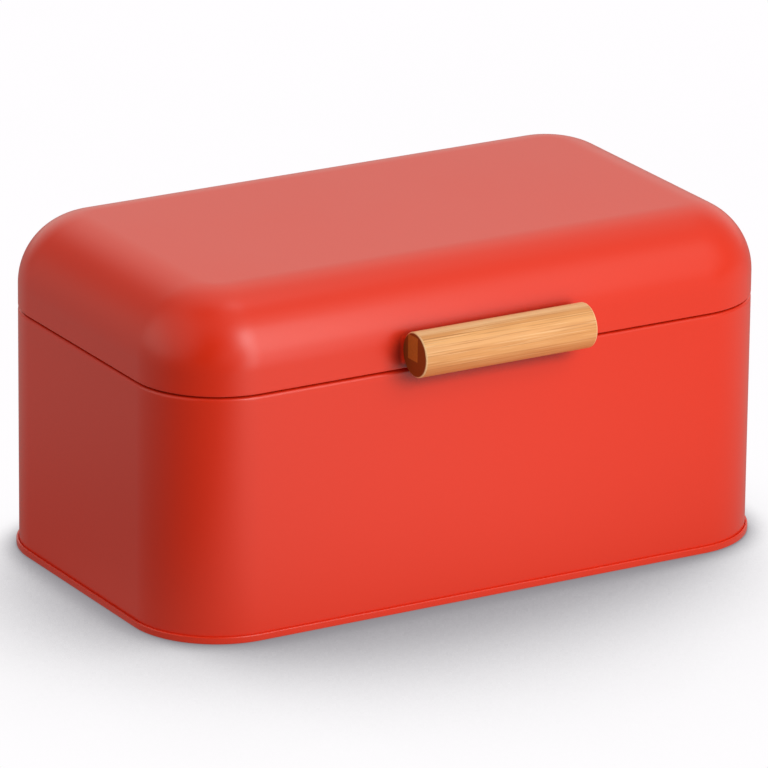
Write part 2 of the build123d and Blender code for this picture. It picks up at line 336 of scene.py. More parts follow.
@dataclass(frozen=True)
class RedCoat:
    """Satin red powder coat on steel sheet."""

    colour: Colour = (0.80, 0.030, 0.006, 1.0)
    tone_per_metre: float = 7.0
    tone_swing: float = 0.02
    worn_colour: Colour = (0.78, 0.13, 0.09, 1.0)
    wear_per_metre: float = 260.0
    wear_share: float = 0.5
    # Painted shade: the dark colour laid near a piece close by, such as round and under the handle, and the
    # lean of its occlusion
    lee_colour: Colour = (0.15, 0.003, 0.001, 1.0)
    lee_lean: Triple = (0.40, 0.0, 0.55)
    lee_skip: float = 2 * MM
    lee_reach: float = 12 * MM
    roughness: Range = (0.285, 0.315)
    peel_per_metre: float = 900.0
    ripple_per_metre: float = 16.0
    ripple: float = 4.0
    relief: float = 0.006 * MM
    relief_strength: float = 1.0

    def material(self, effects: Effects) -> bpy.types.Material:
        """Builds the finish.

        Args:
            effects: the shader groups.

        Returns:
            The material.
        """
        material, graph, shader, place = new_material("red_coat")
        tone = effects.mottle.place(
            graph, Place=place, Colour=self.colour, Scale=self.tone_per_metre, Amount=self.tone_swing
        )
        wear_and_highlight = effects.edge_wear_and_highlight.place(
            graph, Place=place, Scale=self.wear_per_metre, Amount=self.wear_share
        )
        skin = effects.relief.place(
            graph, Place=place, Fine=self.peel_per_metre, Broad=self.ripple_per_metre, Ripple=self.ripple
        )
        painted_shade = effects.painted_shade.place(
            graph, Place=place, Lean=self.lee_lean, Skip=self.lee_skip, Reach=self.lee_reach
        )
        # Paler edges: part wear, part painted highlight
        colour = graph.blend(wear_and_highlight["Mask"], tone["Colour"], self.worn_colour)
        # Painted shade: darkens the coat near a piece close by, such as round the handle and under it
        colour = graph.blend(painted_shade["Mask"], colour, self.lee_colour)
        roughness = graph.fade(tone["Drift"], *NOISE_RANGE, *self.roughness)
        normal = graph.bump(skin["Height"], self.relief, self.relief_strength)
        join(graph, shader, Base_Color=colour, Roughness=roughness, Normal=normal)
        return material


@dataclass(frozen=True)
class LaminatedBamboo:
    """Oiled bamboo, turned from a block of glued strips.

    A grain is lumps to the metre along the dowel and across it. A fade is where it starts and ends, and the
    shares before and after it. The underside fade paints shade, and the top and end rim fades paint
    highlights.
    """

    axis: Vector
    light: Colour = (0.84, 0.42, 0.152, 1.0)
    dark: Colour = (0.65, 0.26, 0.068, 1.0)
    fibre_colour: Colour = (0.39, 0.13, 0.027, 1.0)
    # Colour of the pale fibres, and of the painted sheen and highlights
    pale_fibre: Colour = (0.95, 0.62, 0.33, 1.0)
    # Painted shade with painted red bounce light from the coat, on the dowel's underside
    gripped: Colour = (0.70, 0.17, 0.03, 1.0)
    end_light: Colour = (0.55, 0.17, 0.02, 1.0)
    end_dark: Colour = (0.27, 0.055, 0.003, 1.0)
    strip_width: float = 8.1 * MM
    strip_height: float = 10.9 * MM
    strip_shift: Triple = (0.0, 0.333, 0.248)
    strip_contrast: float = 0.45
    glue_line: float = 0.14 * MM
    glue_share: float = 0.45
    broad_grain: Triple = (8.0, 360.0, 360.0)
    broad_fade: Fade = (0.32, 0.68, 0.0, 0.55)
    streak_grain: Triple = (26.0, 1500.0, 1500.0)
    streak_fade: Fade = (0.50, 0.70, 0.0, 0.55)
    bundle_grain: Triple = (34.0, 2600.0, 2600.0)
    bundle_fade: Fade = (0.56, 0.70, 0.0, 0.5)
    gripped_fade: Fade = (-0.8, 0.4, 0.45, 0.0)
    # Painted sheen on the top of the dowel
    top_fade: Fade = (0.90, 1.0, 0.0, 0.5)
    # Painted highlight on the rounded rims of the dowel's ends
    edge_fade: Fade = (0.10, 0.35, 0.0, 0.65)
    end_fade: Range = (0.72, 0.95)
    speckle_per_metre: float = 1400.0
    speckle_range: Range = (0.4, 0.7)
    speckle_share: float = 0.25
    tone_per_metre: float = 45.0
    tone_swing: float = 0.08
    wear_per_metre: float = 400.0
    wear_share: float = 0.35
    roughness: Range = (0.42, 0.56)
    relief: float = 0.03 * MM
    relief_strength: float = 0.6

    def material(self, effects: Effects) -> bpy.types.Material:
        """Builds the finish.

        Args:
            effects: the shader groups.

        Returns:
            The material.
        """
        material, graph, shader, place = new_material("bamboo")
        about_axis = graph.vector("SUBTRACT", place, self.axis)
        strip_tone, round_heart, glue = self._strips(graph, about_axis)
        broad = graph.noise(graph.vector("MULTIPLY", about_axis, self.broad_grain), 1.0, detail=2.0)
        streaks = graph.vector("MULTIPLY", about_axis, self.streak_grain)
        streaks = graph.noise(streaks, 1.0, detail=3.0, roughness=0.6)
        bundles = graph.noise(graph.vector("MULTIPLY", about_axis, self.bundle_grain), 1.0, detail=1.0)
        drift = graph.fade(broad, *self.broad_fade)
        share = graph.math("MULTIPLY_ADD", strip_tone, self.strip_contrast, drift)
        wood = graph.blend(share, self.light, self.dark)
        wood = graph.blend(graph.fade(streaks, *self.streak_fade), wood, self.fibre_colour)
        wood = graph.blend(graph.fade(bundles, *self.bundle_fade), wood, self.pale_fibre)
        wood = graph.blend(graph.math("MULTIPLY", glue, self.glue_share), wood, self.fibre_colour)
        facing = graph.parts(graph.add("ShaderNodeTexCoord").outputs["Normal"])
        endways = graph.math("ABSOLUTE", facing["X"])
        # Painted shade and red bounce: the dowel darker and redder towards the bottom
        wood = graph.blend(graph.fade(facing["Z"], *self.gripped_fade), wood, self.gripped)
        # Painted sheen: paler where the dowel faces up
        wood = graph.blend(graph.fade(facing["Z"], *self.top_fade), wood, self.pale_fibre)
        # Painted highlight: a pale ring on the rounded ends of the dowel
        wood = graph.blend(graph.fade(endways, *self.edge_fade), wood, self.pale_fibre)
        speckle = graph.noise(about_axis, self.speckle_per_metre, detail=1.0)
        pores = graph.fade(speckle, *self.speckle_range)
        end_share = graph.math("MULTIPLY_ADD", pores, self.speckle_share, round_heart)
        end_wood = graph.blend(end_share, self.end_light, self.end_dark)
        wood = graph.blend(graph.fade(endways, *self.end_fade), wood, end_wood)
        tone = effects.mottle.place(
            graph, Place=place, Colour=wood, Scale=self.tone_per_metre, Amount=self.tone_swing
        )
        wear_and_highlight = effects.edge_wear_and_highlight.place(
            graph, Place=place, Scale=self.wear_per_metre, Amount=self.wear_share
        )
        # Pale edges: part wear, part painted highlight
        colour = graph.blend(wear_and_highlight["Mask"], tone["Colour"], self.pale_fibre)
        roughness = graph.fade(streaks, *NOISE_RANGE, *self.roughness)
        normal = graph.bump(graph.math("SUBTRACT", bundles, streaks), self.relief, self.relief_strength)
        join(graph, shader, Base_Color=colour, Roughness=roughness, Normal=normal)
        return material

    def _strips(self, graph: Graph, place: Socket) -> tuple[Socket, ...]:
        """Divides the block into glued strips, light and dark by turns.

        Args:
            graph: the material's nodes.
            place: the socket with the place about the dowel's axis.

        Returns:
            The sockets with each strip's own tone, with the strips round the pale middle one, and with the
            glue lines.
        """
        spread = (0.0, 1 / self.strip_width, 1 / self.strip_height)
        shifted = graph.vector("ADD", graph.vector("MULTIPLY", place, spread), self.strip_shift)
        number = graph.parts(graph.vector("FLOOR", shifted))
        along_row = graph.math("ADD", number["Y"], 1.0)
        tone = graph.math("PINGPONG", graph.math("ADD", along_row, number["Z"]), 1.0)
        off_heart = [graph.math("ABSOLUTE", number[axis]) for axis in ("Y", "Z")]
        heart = graph.math("MINIMUM", graph.math("ADD", *off_heart), 1.0)
        within = graph.parts(graph.vector("FRACTION", shifted))
        lines = []
        for axis, pitch in (("Y", self.strip_width), ("Z", self.strip_height)):
            from_middle = graph.math("ABSOLUTE", graph.math("SUBTRACT", within[axis], 0.5))
            lines.append(graph.fade(from_middle, 0.5 - self.glue_line / pitch, 0.5))
        return tone, heart, graph.math("MAXIMUM", *lines)


@dataclass(frozen=True)
class PlatedSteel:
    """Zinc-plated steel of hinges and fasteners."""

    colour: Colour = (0.60, 0.60, 0.585, 1.0)
    tone_per_metre: float = 220.0
    tone_swing: float = 0.16
    bright: Colour = (0.80, 0.80, 0.79, 1.0)
    wear_per_metre: float = 700.0
    wear_share: float = 0.8
    rolling: Triple = (0.06, 1.0, 1.0)
    grain_per_metre: float = 5200.0
    ripple_per_metre: float = 300.0
    ripple: float = 1.5
    roughness: Range = (0.24, 0.42)
    relief: float = 0.01 * MM
    relief_strength: float = 0.5

    def material(self, effects: Effects) -> bpy.types.Material:
        """Builds the finish.

        Args:
            effects: the shader groups.

        Returns:
            The material.
        """
        material, graph, shader, place = new_material("plated_steel")
        shader.inputs["Metallic"].default_value = 1.0
        tone = effects.mottle.place(
            graph, Place=place, Colour=self.colour, Scale=self.tone_per_metre, Amount=self.tone_swing
        )
        wear_and_highlight = effects.edge_wear_and_highlight.place(
            graph, Place=place, Scale=self.wear_per_metre, Amount=self.wear_share
        )
        rolled = graph.vector("MULTIPLY", place, self.rolling)
        skin = effects.relief.place(
            graph, Place=rolled, Fine=self.grain_per_metre, Broad=self.ripple_per_metre, Ripple=self.ripple
        )
        # Bright edges: part wear, part painted highlight
        colour = graph.blend(wear_and_highlight["Mask"], tone["Colour"], self.bright)
        roughness = graph.fade(tone["Drift"], *NOISE_RANGE, *self.roughness)
        normal = graph.bump(skin["Height"], self.relief, self.relief_strength)
        join(graph, shader, Base_Color=colour, Roughness=roughness, Normal=normal)
        return material


@dataclass(frozen=True)
class PaleFloor:
    """The plain pale floor. It glows softly, throwing painted light on the box, less where the box keeps
    the room's light from it, and the camera sees a painted shadow of the box on it.
    """

    box: Extent
    corner: float
    lit: Colour = (1.0, 0.985, 1.0, 1.0)
    shaded: Colour = (0.262, 0.248, 0.268, 1.0)
    shade_rays: int = 16
    shade_reach: float = 0.66
    shade_lean: Triple = (0.45, 0.56, 0.0)
    shade_range: Range = (0.236, 0.864)
    foot_reach: float = 22 * MM
    foot_lean: Triple = (0.0, 0.0, 0.0)
    foot_range: Range = (0.35, 0.90)
    tone_per_metre: float = 3.0
    tone_swing: float = 0.01
    glow_tint: Triple = (1.0, 0.98, 0.92)
    glow_places: tuple[float, ...] = (-0.25, -0.09, 0.07, 0.28)
    glow_near: tuple[float, ...] = (0.155, 1.12, 1.10, 0.67)
    glow_far: tuple[float, ...] = (0.43, 0.33, 0.27, 0.39)
    near_to_far: Range = (-0.2, 0.2)

    def material(self, effects: Effects) -> bpy.types.Material:
        """Builds the finish.

        Args:
            effects: the shader groups.

        Returns:
            The material.
        """
        material, graph, shader, place = new_material("pale_floor")
        seen = graph.add("ShaderNodeEmission", {"Color": self._seen(graph, effects, place)})
        shader.inputs["Base Color"].default_value = (0.0, 0.0, 0.0, 1.0)
        shader.inputs["Specular IOR Level"].default_value = 0.0
        shader.inputs["Emission Strength"].default_value = 1.0
        join(graph, shader, Emission_Color=self._thrown(graph, place))
        camera_ray = graph.add("ShaderNodeLightPath").outputs["Is Camera Ray"]
        both = graph.add("ShaderNodeMixShader", {0: camera_ray, 1: shader.outputs[0], 2: seen.outputs[0]})
        graph.tree.links.new(both.outputs[0], graph.tree.nodes["Material Output"].inputs["Surface"])
        material.cycles.emission_sampling = "NONE"
        return material

    def _seen(self, graph: Graph, effects: Effects, place: Socket) -> Socket:
        """Makes the floor that the camera sees, with the box's soft shadow painted on it from ambient
        occlusion.

        Args:
            graph: the material's nodes.
            effects: the shader groups.
            place: the socket with the place on the floor.

        Returns:
            The socket with the colour.
        """
        wide = graph.open_sky(self.shade_lean, self.shade_reach, self.shade_rays)
        close = graph.open_sky(self.foot_lean, self.foot_reach, self.shade_rays)
        fades = graph.fade(wide, *self.shade_range), graph.fade(close, *self.foot_range)
        colour = graph.blend(graph.math("MULTIPLY", *fades), self.shaded, self.lit)
        tone = effects.mottle.place(
            graph, Place=place, Colour=colour, Scale=self.tone_per_metre, Amount=self.tone_swing
        )
        return tone["Colour"]

    def _thrown(self, graph: Graph, place: Socket) -> Socket:
        """Makes the painted light that the floor throws on the box, less close to its walls.

        Args:
            graph: the material's nodes.
            place: the socket with the place on the floor.

        Returns:
            The socket with the colour.
        """
        parts = graph.parts(place)
        near = self._glow(graph, parts["X"], self.glow_near)
        far = self._glow(graph, parts["X"], self.glow_far)
        glow = graph.blend(graph.fade(parts["Y"], *self.near_to_far), near, far)
        core = self.box.size / 2 - Vector((self.corner, self.corner, 0.0))
        beyond = graph.vector("SUBTRACT", graph.vector("ABSOLUTE", place), core)
        outside = graph.vector("MAXIMUM", beyond)
        length = graph.add("ShaderNodeVectorMath", {0: outside}, operation="LENGTH").outputs["Value"]
        away = graph.math("MAXIMUM", graph.math("SUBTRACT", length, self.corner), 0.0)
        steepness = graph.math("ARCTAN2", away, self.box.high.z)
        openness = graph.math("MULTIPLY_ADD", graph.math("SINE", steepness), 0.5, 0.5)
        return graph.scaled(glow, openness)

    def _glow(self, graph: Graph, across: Socket, levels: tuple[float, ...]) -> Socket:
        """Makes the light that the floor throws back, from left to right.

        Args:
            graph: the material's nodes.
            across: the socket with the place from left to right.
            levels: brightness at each of the places.

        Returns:
            The socket with the light.
        """
        first, last = self.glow_places[0], self.glow_places[-1]
        reach = {"Value": across, "From Min": first, "From Max": last}
        ramp = graph.add("ShaderNodeValToRGB", {0: graph.add("ShaderNodeMapRange", reach).outputs[0]})
        stops = ramp.color_ramp.elements
        while len(stops) < len(levels):
            stops.new(0.5)
        for stop, place, level in zip(stops, self.glow_places, levels):
            stop.position = (place - first) / (last - first)
            stop.color = (*(level * part for part in self.glow_tint), 1.0)
        return ramp.outputs[0]


@dataclass(frozen=True)
class Finishes:
    """The materials of the box, by the record's slots."""

    by_slot: dict[Slot, bpy.types.Material]

    def fit(self, piece: bpy.types.Object, body: Body, slot: Slot, *nodes: str) -> None:
        """Dresses a piece and puts it on its body.

        Args:
            piece: the piece, in place.
            body: the body that it rides on.
            slot: the slot that its finish comes from.
            nodes: the nodes of the frame that it stands for.
        """
        piece.data.materials.clear()
        piece.data.materials.append(self.by_slot[slot])
        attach(piece, body.value)
        if nodes:
            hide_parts(*nodes)
        faces = len(piece.data.polygons)
        LOG.info("%s: rides on %s, finish %s, %d faces", piece.name, body.value, slot.value, faces)


def rounded(corners: Sequence[Triple]) -> Section:
    """Rounds the corners of a section.

    Args:
        corners: distance across, height and radius of each corner in order.

    Returns:
        The points of the section, with arcs at the rounded corners.
    """
    outline: Section = []
    for place, (across, height, radius) in enumerate(corners):
        here = Vector((across, height))
        if radius == 0:
            outline.append((across, height))
            continue
        before = (Vector(corners[place - 1][:2]) - here).normalized()
        after = (Vector(corners[(place + 1) % len(corners)][:2]) - here).normalized()
        half = before.angle(after) / 2
        centre = here + (before + after).normalized() * (radius / math.sin(half))
        start = here + before * (radius / math.tan(half)) - centre
        end = here + after * (radius / math.tan(half)) - centre
        sweep = math.pi - 2 * half
        step_angle = LARGE_ROUND_STEP if radius > LARGE_ROUND else SMALL_ROUND_STEP
        steps = max(FEWEST_ROUND_STEPS, round(sweep / step_angle))
        for step in range(steps + 1):
            angle = sweep * step / steps
            ray = (start * math.sin(sweep - angle) + end * math.sin(angle)) / math.sin(sweep)
            outline.append(tuple(centre + ray))
    return outline


def skin_rows(mesh: Mesh, rows: Sequence[Ring], closed: bool) -> None:
    """Joins rings of points by faces. A ring of a single point is a pole.

    Args:
        mesh: the mesh to fill.
        rows: the rings, in order.
        closed: whether the last ring joins the first.
    """
    steps = max(len(row) for row in rows)
    following = [*rows[1:], rows[0]] if closed else rows[1:]
    for low, high in zip(rows, following):
        for here in range(steps):
            there = here + 1
            around = ((low, here), (low, there), (high, there), (high, here))
            corners = list(dict.fromkeys(row[step % len(row)] for row, step in around))
            if len(corners) > 2:
                mesh.faces.new(corners)


def turned(mesh: Mesh, section: Section, place: Matrix, steps: int) -> list[Ring]:
    """Turns the points of a section about its height.

    Args:
        mesh: the mesh to fill.
        section: radius and height of each point.
        place: where the turned form goes.
        steps: number of facets round the axis.

    Returns:
        The rings of points. A point on the axis is a ring by itself.
    """
    rings = []
    for radius, height in section:
        angles = [math.tau * step / steps for step in range(steps if radius > WELD else 1)]
        points = [Vector((radius * math.cos(a), radius * math.sin(a), height)) for a in angles]
        rings.append([mesh.verts.new(place @ point) for point in points])
    return rings


def make_piece(mesh: Mesh, name: str, bevel: float = 0.0) -> bpy.types.Object:
    """Makes an object of a finished mesh.

    Args:
        mesh: the mesh, which is used up.
        name: name of the piece.
        bevel: width of the softened sharp edges, or 0 for none.

    Returns:
        The object, with smooth faces and sharp edges kept.
    """
    bmesh.ops.remove_doubles(mesh, verts=mesh.verts, dist=WELD)
    bmesh.ops.dissolve_degenerate(mesh, edges=mesh.edges, dist=WELD)
    bmesh.ops.recalc_face_normals(mesh, faces=mesh.faces)
    data = bpy.data.meshes.new(name)
    mesh.to_mesh(data)
    mesh.free()
    data.shade_smooth()
    data.set_sharp_from_angle(angle=SHARP_EDGE)
    piece = bpy.data.objects.new(name, data)
    bpy.context.scene.collection.objects.link(piece)
    if bevel:
        softened = piece.modifiers.new("softened_edges", "BEVEL")
        softened.width = bevel
        softened.segments = 2
        softened.limit_method = "ANGLE"
        softened.angle_limit = SHARP_EDGE
        softened.use_clamp_overlap = True
    weighted = piece.modifiers.new("even_shading", "WEIGHTED_NORMAL")
    weighted.keep_sharp = True
    return piece


@dataclass(frozen=True)
class Plan:
    """The box seen from above: a rectangle with large round corners."""

    width: float
    depth: float
    corner: float = 39 * MM
    corner_steps: int = 32
    long_steps: int = 12
    short_steps: int = 6

    @property
    def long_run(self) -> float:
        """Half of the straight front."""
        return self.width / 2 - self.corner

    @property
    def short_run(self) -> float:
        """Half of the straight end."""
        return self.depth / 2 - self.corner

    def ring(self, inset: float) -> Section:
        """Points round the plan.

        Args:
            inset: how far the ring is drawn in from the wall's outside.

        Returns:
            The points, anticlockwise from the middle of the front.
        """
        radius = self.corner - inset
        front = inset - self.depth / 2
        end = self.width / 2 - inset
        quarter = [(self.long_run * step / self.long_steps, front) for step in range(self.long_steps)]
        for step in range(self.corner_steps + 1):
            angle = QUARTER_TURN * step / self.corner_steps
            x = self.long_run + radius * math.sin(angle)
            quarter.append((x, -self.short_run - radius * math.cos(angle)))
        for step in range(1, self.short_steps + 1):
            quarter.append((end, -self.short_run * (1 - step / self.short_steps)))
        half = quarter[:-1] + [(x, -y) for x, y in reversed(quarter[1:])]
        return half + [(-x, -y) for x, y in half]

    def loft(self, mesh: Mesh, section: Section, closed: bool) -> list[Ring]:
        """Carries a section round the plan.

        Args:
            mesh: the mesh to fill.
            section: inset and height of each point.
            closed: whether the section is a closed loop.

        Returns:
            The rings of points, one for each point of the section.
        """
        rows = [[mesh.verts.new((x, y, height)) for x, y in self.ring(inset)] for inset, height in section]
        skin_rows(mesh, rows, closed)
        return rows

    def sheet(self, section: Section) -> Mesh:
        """Makes a sheet of metal that closes the plan.

        Args:
            section: inset and height of each point, from one face of the sheet round its edge to the other.

        Returns:
            The mesh, with both flat faces closed.
        """
        mesh = bmesh.new()
        rows = self.loft(mesh, section, closed=False)
        self._cap(mesh, rows[0])
        self._cap(mesh, rows[-1])
        return mesh

    def _cap(self, mesh: Mesh, row: Ring) -> None:
        """Closes a ring by a flat grid.

        Args:
            mesh: the mesh to fill.
            row: the ring.
        """
        height = row[0].co.z
        spots: dict[tuple[int, int], bmesh.types.BMVert] = {}

        def spot(x: float, y: float) -> bmesh.types.BMVert:
            """The point of the grid at a place."""
            key = (round(x / WELD), round(y / WELD))
            if key not in spots:
                spots[key] = mesh.verts.new((x, y, height))
            return spots[key]

        inner = []
        for point in row:
            x = min(max(point.co.x, -self.long_run), self.long_run)
            y = min(max(point.co.y, -self.short_run), self.short_run)
            inner.append(spot(x, y))
        skin_rows(mesh, [row, inner], closed=False)
        across, along = (
            [run * step / steps for step in range(-steps, steps + 1)]
            for run, steps in ((self.long_run, self.long_steps), (self.short_run, self.short_steps))
        )
        for left, right in zip(across, across[1:]):
            for near, far in zip(along, along[1:]):
                mesh.faces.new((spot(left, near), spot(right, near), spot(right, far), spot(left, far)))


@dataclass(frozen=True)
class Carcass:
    """The body: a wall band with a neck, its welded lap, and the floor pan with the seamed rim."""

    plan: Plan
    finishes: Finishes
    sheet: float = 0.6 * MM
    bend: float = 0.4 * MM
    seat_gap: float = 0.8 * MM
    neck_inset: float = 2.0 * MM
    shoulder_round: float = 1.5 * MM
    shoulder_loop: float = 3.4 * MM
    foot_loop: float = 0.5 * MM
    neck_round: float = 0.2 * MM
    seam_play: float = 0.05 * MM
    rim_height: float = 3.4 * MM
    rim_fold_round: float = 0.55 * MM
    rim_foot_round: float = 0.9 * MM
    floor_lift: float = 2.4 * MM
    panel_inset: float = 16 * MM
    panel_flange: float = 4 * MM
    lap_width: float = 8 * MM
    lap_room: float = 1 * MM
    lap_cell: float = 0.4 * MM
    lap_bevel: float = 0.12 * MM
    weld_pitch: float = 16 * MM
    weld_radius: float = 2.1 * MM
    weld_depth: float = 0.16 * MM

    def build(self) -> None:
        """Builds the pieces of the body."""
        self.wall()
        self.lap()
        self.pan()

    @property
    def shoulder(self) -> float:
        """Height of the shoulder that the lid comes down on."""
        return Extent.of("lid_shell").low.z - self.seat_gap

    def wall(self) -> None:
        """Builds the wall band."""
        extent = Extent.of("side_wall")
        foot, top = extent.low.z, extent.high.z
        neck_inside = self.neck_inset + self.sheet
        under = self.shoulder - self.sheet
        section = rounded((
            (0, foot, 0),
            (0, foot + self.foot_loop, 0),
            (0, self.shoulder - self.shoulder_loop, 0),
            (0, self.shoulder, self.shoulder_round),
            (self.neck_inset, self.shoulder, self.bend),
            (self.neck_inset, top, self.neck_round),
            (neck_inside, top, self.neck_round),
            (neck_inside, under, self.sheet + self.bend),
            (self.sheet, under, self.shoulder_round - self.sheet),
            (self.sheet, under - self.shoulder_loop, 0),
            (self.sheet, foot + self.foot_loop, 0),
            (self.sheet, foot, 0),
        ))
        mesh = bmesh.new()
        self.plan.loft(mesh, section, closed=True)
        self.finishes.fit(make_piece(mesh, "wall_band"), Body.STAND, Slot.RED_COAT, "side_wall")

    def lap(self) -> None:
        """Builds the lap that closes the band inside the back, with its row of spot welds."""
        back = self.plan.depth / 2 - self.sheet
        bottom = self.floor_lift + self.sheet + self.lap_room
        top = self.shoulder - self.sheet - self.lap_room
        weld_count = int((top - bottom) / self.weld_pitch)
        welds = [bottom + self.weld_pitch * (place + 0.5) for place in range(weld_count)]
        columns = round(self.lap_width / self.lap_cell)
        rows = round((top - bottom) / self.lap_cell)
        mesh = bmesh.new()
        loops = []
        for depth in (0.0, self.sheet):
            grid = []
            for row in range(rows + 1):
                height = bottom + (top - bottom) * row / rows
                line = []
                for column in range(columns + 1):
                    x = self.lap_width * (column / columns - 0.5)
                    away = min(math.hypot(x, height - weld) for weld in welds) / self.weld_radius
                    dent = self.weld_depth * max(0.0, 1 - away**2) if depth else 0.0
                    line.append(mesh.verts.new((x, back - depth + dent, height)))
                grid.append(line)
            for low, high in zip(grid, grid[1:]):
                for column in range(columns):
                    mesh.faces.new((low[column], low[column + 1], high[column + 1], high[column]))
            right_edge = [line[-1] for line in grid[1:-1]]
            left_edge = [line[0] for line in grid[1:-1]]
            loops.append([*grid[0], *right_edge, *reversed(grid[-1]), *reversed(left_edge)])
        skin_rows(mesh, loops, closed=False)
        piece = make_piece(mesh, "wall_lap", bevel=self.lap_bevel)
        self.finishes.fit(piece, Body.STAND, Slot.RED_COAT)

    def pan(self) -> None:
        """Builds the floor pan, whose edge is folded round the foot of the wall."""
        extent = Extent.of("bottom_pan")
        proud = extent.size.x / 2 - self.plan.width / 2
        panel_top = extent.high.z
        panel_bottom = panel_top - self.sheet
        panel_edge = self.panel_inset + self.panel_flange
        floor_top = self.floor_lift + self.sheet
        step_outside = self.panel_inset - self.sheet
        skirt_outside = self.sheet + self.seam_play
        skirt_inside = skirt_outside + self.sheet
        section = rounded((
            (panel_edge, panel_bottom, 0),
            (self.panel_inset, panel_bottom, self.bend),
            (self.panel_inset, self.floor_lift, self.bend),
            (skirt_inside, self.floor_lift, self.bend),
            (skirt_inside, 0, self.bend),
            (-proud, 0, self.rim_foot_round),
            (-proud, self.rim_height, self.rim_fold_round),
            (-self.seam_play, self.rim_height, self.rim_fold_round),
            (-self.seam_play, self.sheet, 0),
            (skirt_outside, self.sheet, 0),
            (skirt_outside, floor_top, self.sheet),
            (step_outside, floor_top, self.bend),
            (step_outside, panel_top, self.sheet + self.bend),
            (panel_edge, panel_top, 0),
        ))
        piece = make_piece(self.plan.sheet(section), "floor_pan")
        self.finishes.fit(piece, Body.STAND, Slot.RED_COAT, "bottom_pan")


@dataclass(frozen=True)
class DrawnLid:
    """The lid: a skirt with a folded hem, a large rounding and a flat top, drawn from one sheet."""

    plan: Plan
    finishes: Finishes
    sheet: float = 0.6 * MM
    edge_radius: float = 31 * MM
    hem_round: float = 0.45 * MM
    edge_loop: float = 1.0 * MM

    def build(self) -> None:
        """Builds the lid."""
        extent = Extent.of("lid_shell")
        bottom, top = extent.low.z, extent.high.z
        hem = 2 * self.sheet
        hem_top = Extent.of("side_wall").high.z
        flat_edge = self.edge_radius + self.sheet
        section = rounded((
            (flat_edge, top - self.sheet, 0),
            (self.sheet, top - self.sheet, self.edge_radius - self.sheet),
            (self.sheet, hem_top, 0),
            (hem, hem_top, self.hem_round),
            (hem, bottom, self.hem_round),
            (0, bottom, self.hem_round),
            (0, bottom + self.edge_loop, 0),
            (0, top, self.edge_radius),
            (flat_edge, top, 0),
        ))
        piece = make_piece(self.plan.sheet(section), "drawn_lid")
        self.finishes.fit(piece, Body.LID, Slot.RED_COAT, "lid_shell")


